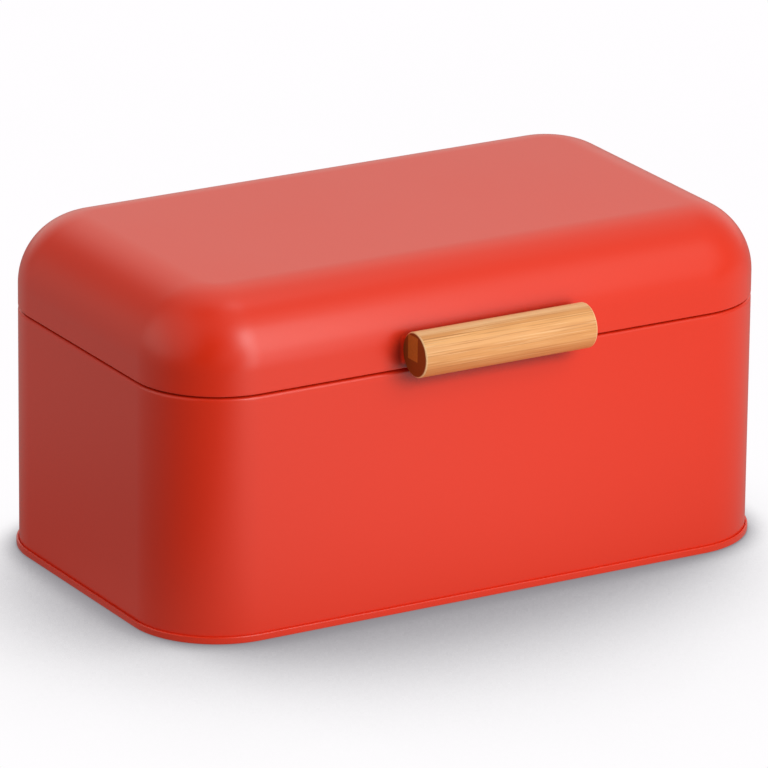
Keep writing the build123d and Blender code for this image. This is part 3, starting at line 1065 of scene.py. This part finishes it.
@dataclass(frozen=True)
class DowelHandle:
    """The handle: a bamboo dowel, held by two screws with washers inside the lid."""

    finishes: Finishes
    end_round: float = 1.0 * MM
    end_steps: int = 8
    end_rings: Triple = (0.75, 0.5, 0.25)
    facets: int = 90
    length_steps: int = 24
    head_diameter: float = 6.8 * MM
    head_height: float = 2.4 * MM
    head_edge: float = 0.15 * MM
    head_dome: float = 1.53 * MM
    shank_diameter: float = 3.6 * MM
    core_diameter: float = 2.6 * MM
    screw_facets: int = 32
    plain_share: float = 0.22
    thread_pitch: float = 1.5 * MM
    thread_levels: int = 8
    thread_sharpness: float = 3.2
    thread_clear: float = 0.25 * MM
    point: float = 2.5 * MM
    recess_span: float = 3.6 * MM
    recess_width: float = 0.9 * MM
    recess_depth: float = 1.3 * MM
    recess_draft: Range = (0.45, 0.7)
    cutter_clear: float = 0.2 * MM
    washer_bore: float = 3.7 * MM
    washer_edge: float = 0.15 * MM
    washer_facets: int = 48

    def build(self) -> None:
        """Builds the dowel and its fasteners."""
        self.dowel()
        for side in Side:
            self.screw(side)
            self.washer(side)

    @staticmethod
    def axis() -> Vector:
        """Middle of the dowel's axis."""
        extent = Extent.of("handle_bar")
        return Vector((extent.middle.x, extent.low.y + extent.size.z / 2, extent.middle.z))

    def dowel(self) -> None:
        """Builds the dowel, with softened ends and a flat where it seats on the lid."""
        extent = Extent.of("handle_bar")
        axis = self.axis()
        radius = extent.size.z / 2
        flat = extent.high.y - axis.y
        half = extent.size.x / 2
        straight = half - self.end_round
        shares = [step / self.length_steps * 2 - 1 for step in range(1, self.length_steps)]
        runs = [(straight * share, radius) for share in shares]
        right = []
        for step in range(self.end_steps + 1):
            angle = QUARTER_TURN * step / self.end_steps
            x = half - self.end_round * (1 - math.sin(angle))
            right.append((x, radius - self.end_round * (1 - math.cos(angle))))
        rim = right[-1][1]
        right += [(half, rim * share) for share in (*self.end_rings, 0.0)]
        left = [(-x, size) for x, size in reversed(right)]
        mesh = bmesh.new()
        rows = []
        for x, size in [*left, *runs, *right]:
            row = []
            for facet in range(self.facets if size else 1):
                angle = math.tau * facet / self.facets
                y = min(size * math.cos(angle), flat)
                row.append(mesh.verts.new(axis + Vector((x, y, size * math.sin(angle)))))
            rows.append(row)
        skin_rows(mesh, rows, closed=False)
        self.finishes.fit(make_piece(mesh, "bamboo_dowel"), Body.LID, Slot.BAMBOO, "handle_bar")

    def screw(self, side: Side) -> None:
        """Builds a round-headed wood screw with a cross recess.

        Args:
            side: which of the two.
        """
        node = f"handle_screw_{side.value}"
        extent = Extent.of(node)
        seat = extent.high.y - self.head_height
        place = Matrix.Translation((extent.middle.x, seat, extent.middle.z))
        place = place @ Matrix.Rotation(-QUARTER_TURN, 4, "X")
        head = self.head_diameter / 2
        dome = rounded((
            (self.shank_diameter / 2, 0, 0),
            (head, 0, self.head_edge),
            (head, self.head_height, self.head_dome),
            (0, self.head_height, 0),
        ))
        mesh = bmesh.new()
        shank = self._thread(mesh, extent.low.y - seat, place)
        skin_rows(mesh, [*shank, *turned(mesh, dome, place, self.screw_facets)], closed=False)
        piece = make_piece(mesh, f"dowel_screw_{side.value}")
        self._cut_recess(piece, place)
        self.finishes.fit(piece, Body.LID, Slot.PLATED_STEEL, node)

    def _thread(self, mesh: Mesh, tip: float, place: Matrix) -> list[Ring]:
        """Makes the threaded shank from its tip to the head.

        Args:
            mesh: the mesh to fill.
            tip: height of the tip below the seat of the head.
            place: where the screw goes.

        Returns:
            The rings of points, from the tip up.
        """
        steps = self.screw_facets
        core, shank = self.core_diameter / 2, self.shank_diameter / 2
        rise = self.thread_pitch / self.thread_levels
        rows = [[mesh.verts.new(place @ Vector((0, 0, tip)))]]
        for level in range(1, int((-tip - self.thread_clear) / rise)):
            height = tip + level * rise
            taper = min(1.0, (height - tip) / self.point)
            row = []
            for step in range(steps):
                angle = math.tau * step / steps
                phase = (height / self.thread_pitch - step / steps) % 1.0
                crest = max(0.0, 1 - abs(phase - 0.5) * self.thread_sharpness)
                threaded = (core + (shank - core) * crest) * taper
                radius = shank if height > tip * self.plain_share else threaded
                point = Vector((radius * math.cos(angle), radius * math.sin(angle), height))
                row.append(mesh.verts.new(place @ point))
            rows.append(row)
        return rows

    def _cut_recess(self, piece: bpy.types.Object, place: Matrix) -> None:
        """Cuts the cross recess into the head.

        Args:
            piece: the screw.
            place: where the screw goes.
        """
        top = self.head_height + self.cutter_clear
        bottom = self.head_height - self.recess_depth
        arm, half = self.recess_span / 2, self.recess_width / 2
        arm_draft, half_draft = self.recess_draft
        corner_signs = ((1, 1), (-1, 1), (-1, -1), (1, -1))
        mesh = bmesh.new()
        rings = []
        for height, reach, width in ((bottom, arm * arm_draft, half * half_draft), (top, arm, half)):
            ring = []
            for step, (sx, sy) in enumerate(corner_signs):
                corners = [(sx * reach, sy * width), (sx * width, sy * width), (sx * width, sy * reach)]
                ring += corners if step % 2 == 0 else list(reversed(corners))
            rings.append([mesh.verts.new(place @ Vector((x, y, height))) for x, y in ring])
        skin_rows(mesh, rings, closed=False)
        for ring in rings:
            mesh.faces.new(ring)
        cutter = make_piece(mesh, "recess_cutter")
        cut = piece.modifiers.new("recess", "BOOLEAN")
        cut.object = cutter
        cut.solver = "EXACT"
        cut_piece = piece.evaluated_get(bpy.context.evaluated_depsgraph_get())
        shaped = bpy.data.meshes.new_from_object(cut_piece)
        piece.modifiers.remove(cut)
        piece.data = shaped
        piece.data.name = piece.name
        piece.data.set_sharp_from_angle(angle=SHARP_EDGE)
        bpy.data.objects.remove(cutter)

    def washer(self, side: Side) -> None:
        """Builds a punched washer, with one edge a little rolled.

        Args:
            side: which of the two.
        """
        node = f"handle_washer_{side.value}"
        extent = Extent.of(node)
        place = Matrix.Translation((extent.middle.x, extent.low.y, extent.middle.z))
        place = place @ Matrix.Rotation(-QUARTER_TURN, 4, "X")
        outer, bore, thickness = extent.size.x / 2, self.washer_bore / 2, extent.size.y
        section = rounded((
            (bore, 0, self.washer_edge / 2),
            (outer, 0, self.washer_edge / 2),
            (outer, thickness, self.washer_edge),
            (bore, thickness, self.washer_edge),
        ))
        mesh = bmesh.new()
        skin_rows(mesh, turned(mesh, section, place, self.washer_facets), closed=True)
        piece = make_piece(mesh, f"dowel_washer_{side.value}")
        self.finishes.fit(piece, Body.LID, Slot.PLATED_STEEL, node)


class LeafKind(Enum):
    """The two leaves of a hinge: its body, the sign of its height from the axis, and its nodes' word."""

    LOWER = (Body.STAND, -1, "body")
    UPPER = (Body.LID, 1, "lid")

    @property
    def body(self) -> Body:
        """The body that the leaf rides on."""
        return self.value[0]

    @property
    def sign(self) -> int:
        """Up or down from the axis."""
        return self.value[1]

    @property
    def word(self) -> str:
        """The word in the names of the leaf's nodes."""
        return self.value[2]


@dataclass(frozen=True)
class RolledHinge:
    """A hinge on the back: two leaves with rolled knuckles, a pin, and four blind rivets."""

    side: Side
    wall: float
    finishes: Finishes
    leaf: float = 0.9 * MM
    bevel: float = 0.12 * MM
    corner: float = 2.5 * MM
    corner_rows: int = 6
    corner_columns: int = 4
    knuckle_radius: float = 2.25 * MM
    knuckle_room: float = 0.4 * MM
    knuckle_gap: float = 0.3 * MM
    clearance: float = 0.3 * MM
    centre_knuckle: float = 14 * MM
    bend_steps: int = 5
    roll: float = math.radians(300)
    roll_steps: int = 32
    stop_reach: float = 4.2 * MM
    stop_thickness: float = 1.0 * MM
    stop_drop: float = 0.83 * MM
    stop_round: float = 0.2 * MM
    turned_facets: int = 40
    pin_radius: float = 1.3 * MM
    pin_head: float = 0.7 * MM
    pin_head_edge: float = 0.08 * MM
    pin_head_round: float = 0.5 * MM
    rivet_radius: float = 1.2 * MM
    rivet_tail_radius: float = 1.8 * MM
    rivet_tail_height: float = 0.6 * MM
    rivet_tail_round: float = 0.3 * MM
    rivet_tail_edge: float = 0.1 * MM
    rivet_head_height: float = 1.1 * MM
    rivet_head_edge: float = 0.05 * MM
    rivet_rim_height: float = 0.3 * MM
    rivet_rim_round: float = 0.15 * MM
    rivet_crown: float = 0.7 * MM
    rivet_crown_round: float = 0.8 * MM
    mandrel_radius: float = 0.55 * MM
    mandrel_edge: float = 0.1 * MM
    mandrel_depth: float = 0.5 * MM
    mandrel_stub: float = 0.1 * MM

    def build(self) -> None:
        """Builds the pieces of the hinge."""
        for kind in LeafKind:
            self.plate(kind)
            self.rivets(kind)
        self.pin()

    def node(self, word: str) -> str:
        """The name of one of the hinge's nodes."""
        return f"hinge_{self.side.value}_{word}"

    @property
    def axis(self) -> Vector:
        """Middle of the hinge's axis."""
        return Extent.of(self.node("pin")).middle

    def _path(self, reach: float) -> list[tuple[Vector, Vector]]:
        """Follows the wall side of a leaf above the axis, from its free edge round its knuckle.

        Args:
            reach: height of the free edge above the axis.

        Returns:
            A place and the direction of the leaf's thickness for each step, across the wall and up.
        """
        stand = self.axis.y - self.wall
        off_wall = Vector((1.0, 0.0))
        flat_end = self.knuckle_radius + self.knuckle_room
        path = []
        for step in range(self.corner_rows + 1):
            drop = self.corner * (1 - math.cos(QUARTER_TURN * step / self.corner_rows))
            path.append((Vector((-stand, reach - drop)), off_wall))
        path.append((Vector((-stand, flat_end)), off_wall))
        for step in range(1, self.bend_steps):
            share = step / self.bend_steps
            ease = share * share * (3 - 2 * share)
            path.append((Vector((self.clearance * ease - stand, flat_end * (1 - share))), off_wall))
        for step in range(self.roll_steps + 1):
            angle = math.pi + self.roll * step / self.roll_steps
            ray = Vector((math.cos(angle), math.sin(angle)))
            path.append((ray * self.knuckle_radius, -ray))
        return path

    def plate(self, kind: LeafKind) -> None:
        """Builds a leaf with its rolled knuckles.

        Args:
            kind: which of the two leaves.
        """
        node = self.node(f"{kind.word}_leaf")
        extent = Extent.of(node)
        axis = self.axis
        half = extent.size.x / 2
        reach = abs((extent.high.z if kind.sign > 0 else extent.low.z) - axis.z)
        path = self._path(reach)
        flat_rows = self.corner_rows + 1
        columns = self._columns(half)
        inner, outer = self.centre_knuckle / 2, self.centre_knuckle / 2 + self.knuckle_gap
        mesh = bmesh.new()
        layers = []
        for depth in (0.0, self.leaf):
            layer = []
            for row, (place, inward) in enumerate(path):
                at = place + inward * depth
                draw = math.sqrt(max(0.0, 1 - (1 - min(1.0, (reach - place.y) / self.corner)) ** 2))
                line = []
                for x in columns:
                    beyond = max(0.0, abs(x) - (half - self.corner))
                    shift = math.copysign(beyond * (1 - draw), x) if row < flat_rows else 0.0
                    line.append(mesh.verts.new(axis + Vector((x - shift, at.x, at.y * kind.sign))))
                layer.append(line)
            layers.append(layer)

        def present(row: int, column: int) -> bool:
            """Whether the leaf covers a cell of the grid."""
            if not (0 <= row < len(path) - 1 and 0 <= column < len(columns) - 1):
                return False
            middle = abs(columns[column] + columns[column + 1]) / 2
            rolled = middle < inner if kind is LeafKind.UPPER else middle > outer
            return row < flat_rows or rolled

        for row in range(len(path) - 1):
            for column in range(len(columns) - 1):
                if not present(row, column):
                    continue
                cell = ((row, column), (row, column + 1), (row + 1, column + 1), (row + 1, column))
                for layer in layers:
                    mesh.faces.new([layer[r][c] for r, c in cell])
                neighbours = ((row - 1, column), (row, column + 1), (row + 1, column), (row, column - 1))
                for (start, end), beside in zip(zip(cell, (*cell[1:], cell[0])), neighbours):
                    if not present(*beside):
                        edge = [layers[0][r][c] for r, c in (start, end)]
                        edge += [layers[1][r][c] for r, c in (end, start)]
                        mesh.faces.new(edge)
        loose = [point for point in mesh.verts if not point.link_faces]
        bmesh.ops.delete(mesh, geom=loose, context="VERTS")
        if kind is LeafKind.UPPER:
            self._stop_lug(mesh)
        piece = make_piece(mesh, f"{kind.name.lower()}_leaf_{self.side.value}", bevel=self.bevel)
        self.finishes.fit(piece, kind.body, Slot.PLATED_STEEL, node)

    def _columns(self, half: float) -> list[float]:
        """Places across a leaf, closer at its rounded corners and with steps at the ends of the knuckles.

        Args:
            half: half of the leaf's length.

        Returns:
            The places in order.
        """
        steps = self.corner_columns
        rounding = [half - self.corner * (1 - step / steps) for step in range(steps + 1)]
        knuckle = self.centre_knuckle / 2
        right = [knuckle / 2, knuckle, knuckle + self.knuckle_gap, (knuckle + half) / 2, *rounding]
        return [*(-x for x in reversed(right)), 0.0, *right]

    def _stop_lug(self, mesh: Mesh) -> None:
        """Adds the lug on the upper knuckle that stops the lid past upright.

        Args:
            mesh: the mesh of the upper leaf.
        """
        root = self.knuckle_radius - self.leaf / 2
        half = self.centre_knuckle / 2
        top = self.stop_thickness - self.stop_drop
        section = rounded((
            (root, -self.stop_drop, 0),
            (self.stop_reach, -self.stop_drop, self.stop_round),
            (self.stop_reach, top, self.stop_round),
            (root, top, 0),
        ))
        rings = [[mesh.verts.new(self.axis + Vector((x, y, z))) for y, z in section] for x in (-half, half)]
        skin_rows(mesh, rings, closed=False)
        for ring in rings:
            mesh.faces.new(ring)

    def pin(self) -> None:
        """Builds the pin, with a peened head at each end."""
        node = self.node("pin")
        extent = Extent.of(node)
        head = extent.size.z / 2
        end = extent.size.x / 2
        shoulder = end - self.pin_head
        upper = rounded((
            (self.pin_radius, 0, 0),
            (self.pin_radius, shoulder, 0),
            (head, shoulder, self.pin_head_edge),
            (head, end, self.pin_head_round),
            (0, end, 0),
        ))
        section = [(radius, -height) for radius, height in reversed(upper)] + upper[1:]
        place = Matrix.Translation(self.axis) @ Matrix.Rotation(QUARTER_TURN, 4, "Y")
        mesh = bmesh.new()
        skin_rows(mesh, turned(mesh, section, place, self.turned_facets), closed=False)
        piece = make_piece(mesh, f"pin_{self.side.value}")
        self.finishes.fit(piece, Body.STAND, Slot.PLATED_STEEL, node)

    def rivets(self, kind: LeafKind) -> None:
        """Builds the two blind rivets of a leaf, each with the hole of its mandrel.

        Args:
            kind: which of the two leaves.
        """
        node = self.node(f"{kind.word}_rivets")
        extent = Extent.of(node)
        head = extent.size.z / 2
        tail = -self.rivet_tail_height
        top = extent.size.y - self.rivet_tail_height
        seat = top - self.rivet_head_height
        hole = self.mandrel_radius
        hole_bottom = top - self.mandrel_depth
        section = rounded((
            (0, tail, 0),
            (self.rivet_tail_radius, tail, self.rivet_tail_round),
            (self.rivet_tail_radius, 0, self.rivet_tail_edge),
            (self.rivet_radius, 0, 0),
            (self.rivet_radius, seat, 0),
            (head, seat, self.rivet_head_edge),
            (head, seat + self.rivet_rim_height, self.rivet_rim_round),
            (hole + self.rivet_crown, top, self.rivet_crown_round),
            (hole, top, self.mandrel_edge),
            (hole, hole_bottom, 0),
            (0, hole_bottom + self.mandrel_stub, 0),
        ))
        mesh = bmesh.new()
        for x in (extent.low.x + head, extent.high.x - head):
            place = Matrix.Translation((x, extent.low.y + self.rivet_tail_height, extent.middle.z))
            place = place @ Matrix.Rotation(-QUARTER_TURN, 4, "X")
            skin_rows(mesh, turned(mesh, section, place, self.turned_facets), closed=False)
        piece = make_piece(mesh, f"{kind.name.lower()}_rivets_{self.side.value}")
        self.finishes.fit(piece, kind.body, Slot.PLATED_STEEL, node)


def outward(turn: float, height: float) -> Vector:
    """Gives a direction from the box.

    Args:
        turn: degrees to the right of straight in front.
        height: degrees above level.

    Returns:
        The direction.
    """
    azimuth, elevation = math.radians(turn), math.radians(height)
    level = math.cos(elevation)
    return Vector((math.sin(azimuth) * level, -math.cos(azimuth) * level, math.sin(elevation)))


@dataclass(frozen=True)
class Softbox:
    """A large soft lamp, placed by its direction from the box."""

    name: str
    turn: float
    height: float
    width: float
    tall: float
    power: float
    distance: float = 0.8

    def build(self, target: Vector) -> None:
        """Builds the lamp.

        Args:
            target: the point that it faces.
        """
        lamp = bpy.data.lights.new(self.name, "AREA")
        lamp.shape = "RECTANGLE"
        lamp.size = self.width
        lamp.size_y = self.tall
        lamp.energy = self.power
        holder = bpy.data.objects.new(self.name, lamp)
        direction = outward(self.turn, self.height)
        holder.location = target + direction * self.distance
        holder.rotation_euler = direction.to_track_quat("Z", "Y").to_euler()
        holder.visible_camera = False
        bpy.context.scene.collection.objects.link(holder)


@dataclass(frozen=True)
class Glow:
    """A soft patch of light on the walls or the ceiling of the room."""

    turn: float
    height: float
    strength: float
    edge: float


@dataclass(frozen=True)
class Studio:
    """The pale floor, the soft light and the camera."""

    effects: Effects
    box: Extent
    corner: float
    lamps: tuple[Softbox, ...] = (
        Softbox("key", 12.0, 30.0, 0.30, 0.45, 1.13),
        Softbox("key_core", 2.0, 34.0, 0.14, 0.28, 0.39),
        Softbox("high_fill", 0.0, 36.0, 0.30, 0.45, 0.29),
        Softbox("low_fill", 9.0, 6.0, 0.28, 0.32, 0.70),
        Softbox("top_light", 60.0, 80.0, 0.20, 0.20, 0.16),
    )
    glows: tuple[Glow, ...] = (
        Glow(-160.0, 5.0, 0.23, 0.6),
        Glow(-120.0, 5.0, 0.50, 0.8),
        Glow(-100.0, 30.0, 0.78, 0.6),
        Glow(0.0, 5.0, 0.58, 0.8),
        Glow(0.0, 60.0, 0.45, 0.8),
        Glow(30.0, 30.0, 1.00, 0.8),
        Glow(60.0, 60.0, 0.42, 0.8),
        Glow(90.0, 5.0, 0.38, 0.6),
        Glow(120.0, 60.0, 0.24, 0.8),
        Glow(150.0, 5.0, 0.82, 0.6),
        Glow(160.0, 60.0, 0.75, 0.8),
    )
    room_colour: Colour = (1.0, 0.98, 0.90, 1.0)
    floor_half: float = 8.0
    floor_cells: int = 8
    camera_turn: float = -30.375
    camera_height: float = 19.009
    camera_roll: float = 0.62
    camera_distance: float = 3.389
    lens: float = 359.93
    sensor_width: float = 36.0
    farthest: float = 100.0
    aim_height: float = 72.7 * MM
    aim_right: float = -0.41 * MM
    aim_up: float = -1.90 * MM

    def build(self) -> None:
        """Builds the whole set."""
        self.floor()
        middle = Vector((0.0, 0.0, self.aim_height))
        for lamp in self.lamps:
            lamp.build(middle)
        self.sky()
        self.camera()
        bpy.context.scene.view_settings.view_transform = "Standard"

    def floor(self) -> None:
        """Builds the floor."""
        cells = self.floor_cells
        mesh = bmesh.new()
        bmesh.ops.create_grid(mesh, x_segments=cells, y_segments=cells, size=self.floor_half)
        data = bpy.data.meshes.new("pale_floor")
        mesh.to_mesh(data)
        mesh.free()
        data.materials.append(PaleFloor(self.box, self.corner).material(self.effects))
        floor = bpy.data.objects.new("pale_floor", data)
        bpy.context.scene.collection.objects.link(floor)

    def sky(self) -> None:
        """Lights the room from its walls and ceiling."""
        world = bpy.data.worlds.new("studio_room")
        world.use_nodes = True
        bpy.context.scene.world = world
        graph = Graph(world.node_tree)
        ray = graph.add("ShaderNodeTexCoord").outputs["Generated"]
        total: Any = 0.0
        for glow in self.glows:
            towards = outward(glow.turn, glow.height)
            facing = graph.add("ShaderNodeVectorMath", {0: ray, 1: towards}, operation="DOT_PRODUCT")
            part = graph.fade(facing.outputs["Value"], glow.edge, 1.0, 0.0, glow.strength)
            total = graph.math("ADD", part, total)
        background = world.node_tree.nodes["Background"]
        world.node_tree.links.new(total, background.inputs["Strength"])
        background.inputs["Color"].default_value = self.room_colour

    def camera(self) -> None:
        """Places the camera at the photograph's angle."""
        back = outward(self.camera_turn, self.camera_height)
        right = outward(self.camera_turn + 90.0, 0.0)
        up = back.cross(right)
        aim = Vector((0.0, 0.0, self.aim_height)) + right * self.aim_right + up * self.aim_up
        data = bpy.data.cameras.new("camera")
        data.lens = self.lens
        data.sensor_width = self.sensor_width
        data.clip_end = self.farthest
        camera = bpy.data.objects.new("camera", data)
        facing = Matrix((right, up, back)).transposed().to_4x4()
        roll = Matrix.Rotation(math.radians(self.camera_roll), 4, "Z")
        camera.matrix_world = Matrix.Translation(aim + back * self.camera_distance) @ facing @ roll
        bpy.context.scene.collection.objects.link(camera)
        bpy.context.scene.camera = camera


def main() -> None:
    """Builds the box and the studio."""
    logging.basicConfig(level=logging.INFO, format="%(name)s: %(message)s")
    effects = Effects()
    finishes = Finishes({
        Slot.RED_COAT: RedCoat().material(effects),
        Slot.BAMBOO: LaminatedBamboo(DowelHandle.axis()).material(effects),
        Slot.PLATED_STEEL: PlatedSteel().material(effects),
    })
    wall = Extent.of("side_wall")
    plan = Plan(wall.size.x, wall.size.y)
    Carcass(plan, finishes).build()
    DrawnLid(plan, finishes).build()
    DowelHandle(finishes).build()
    for side in Side:
        RolledHinge(side, wall.high.y, finishes).build()
    Studio(effects, Extent(wall.low, Extent.of("lid_shell").high), plan.corner).build()


if __name__ == "__main__":
    main()
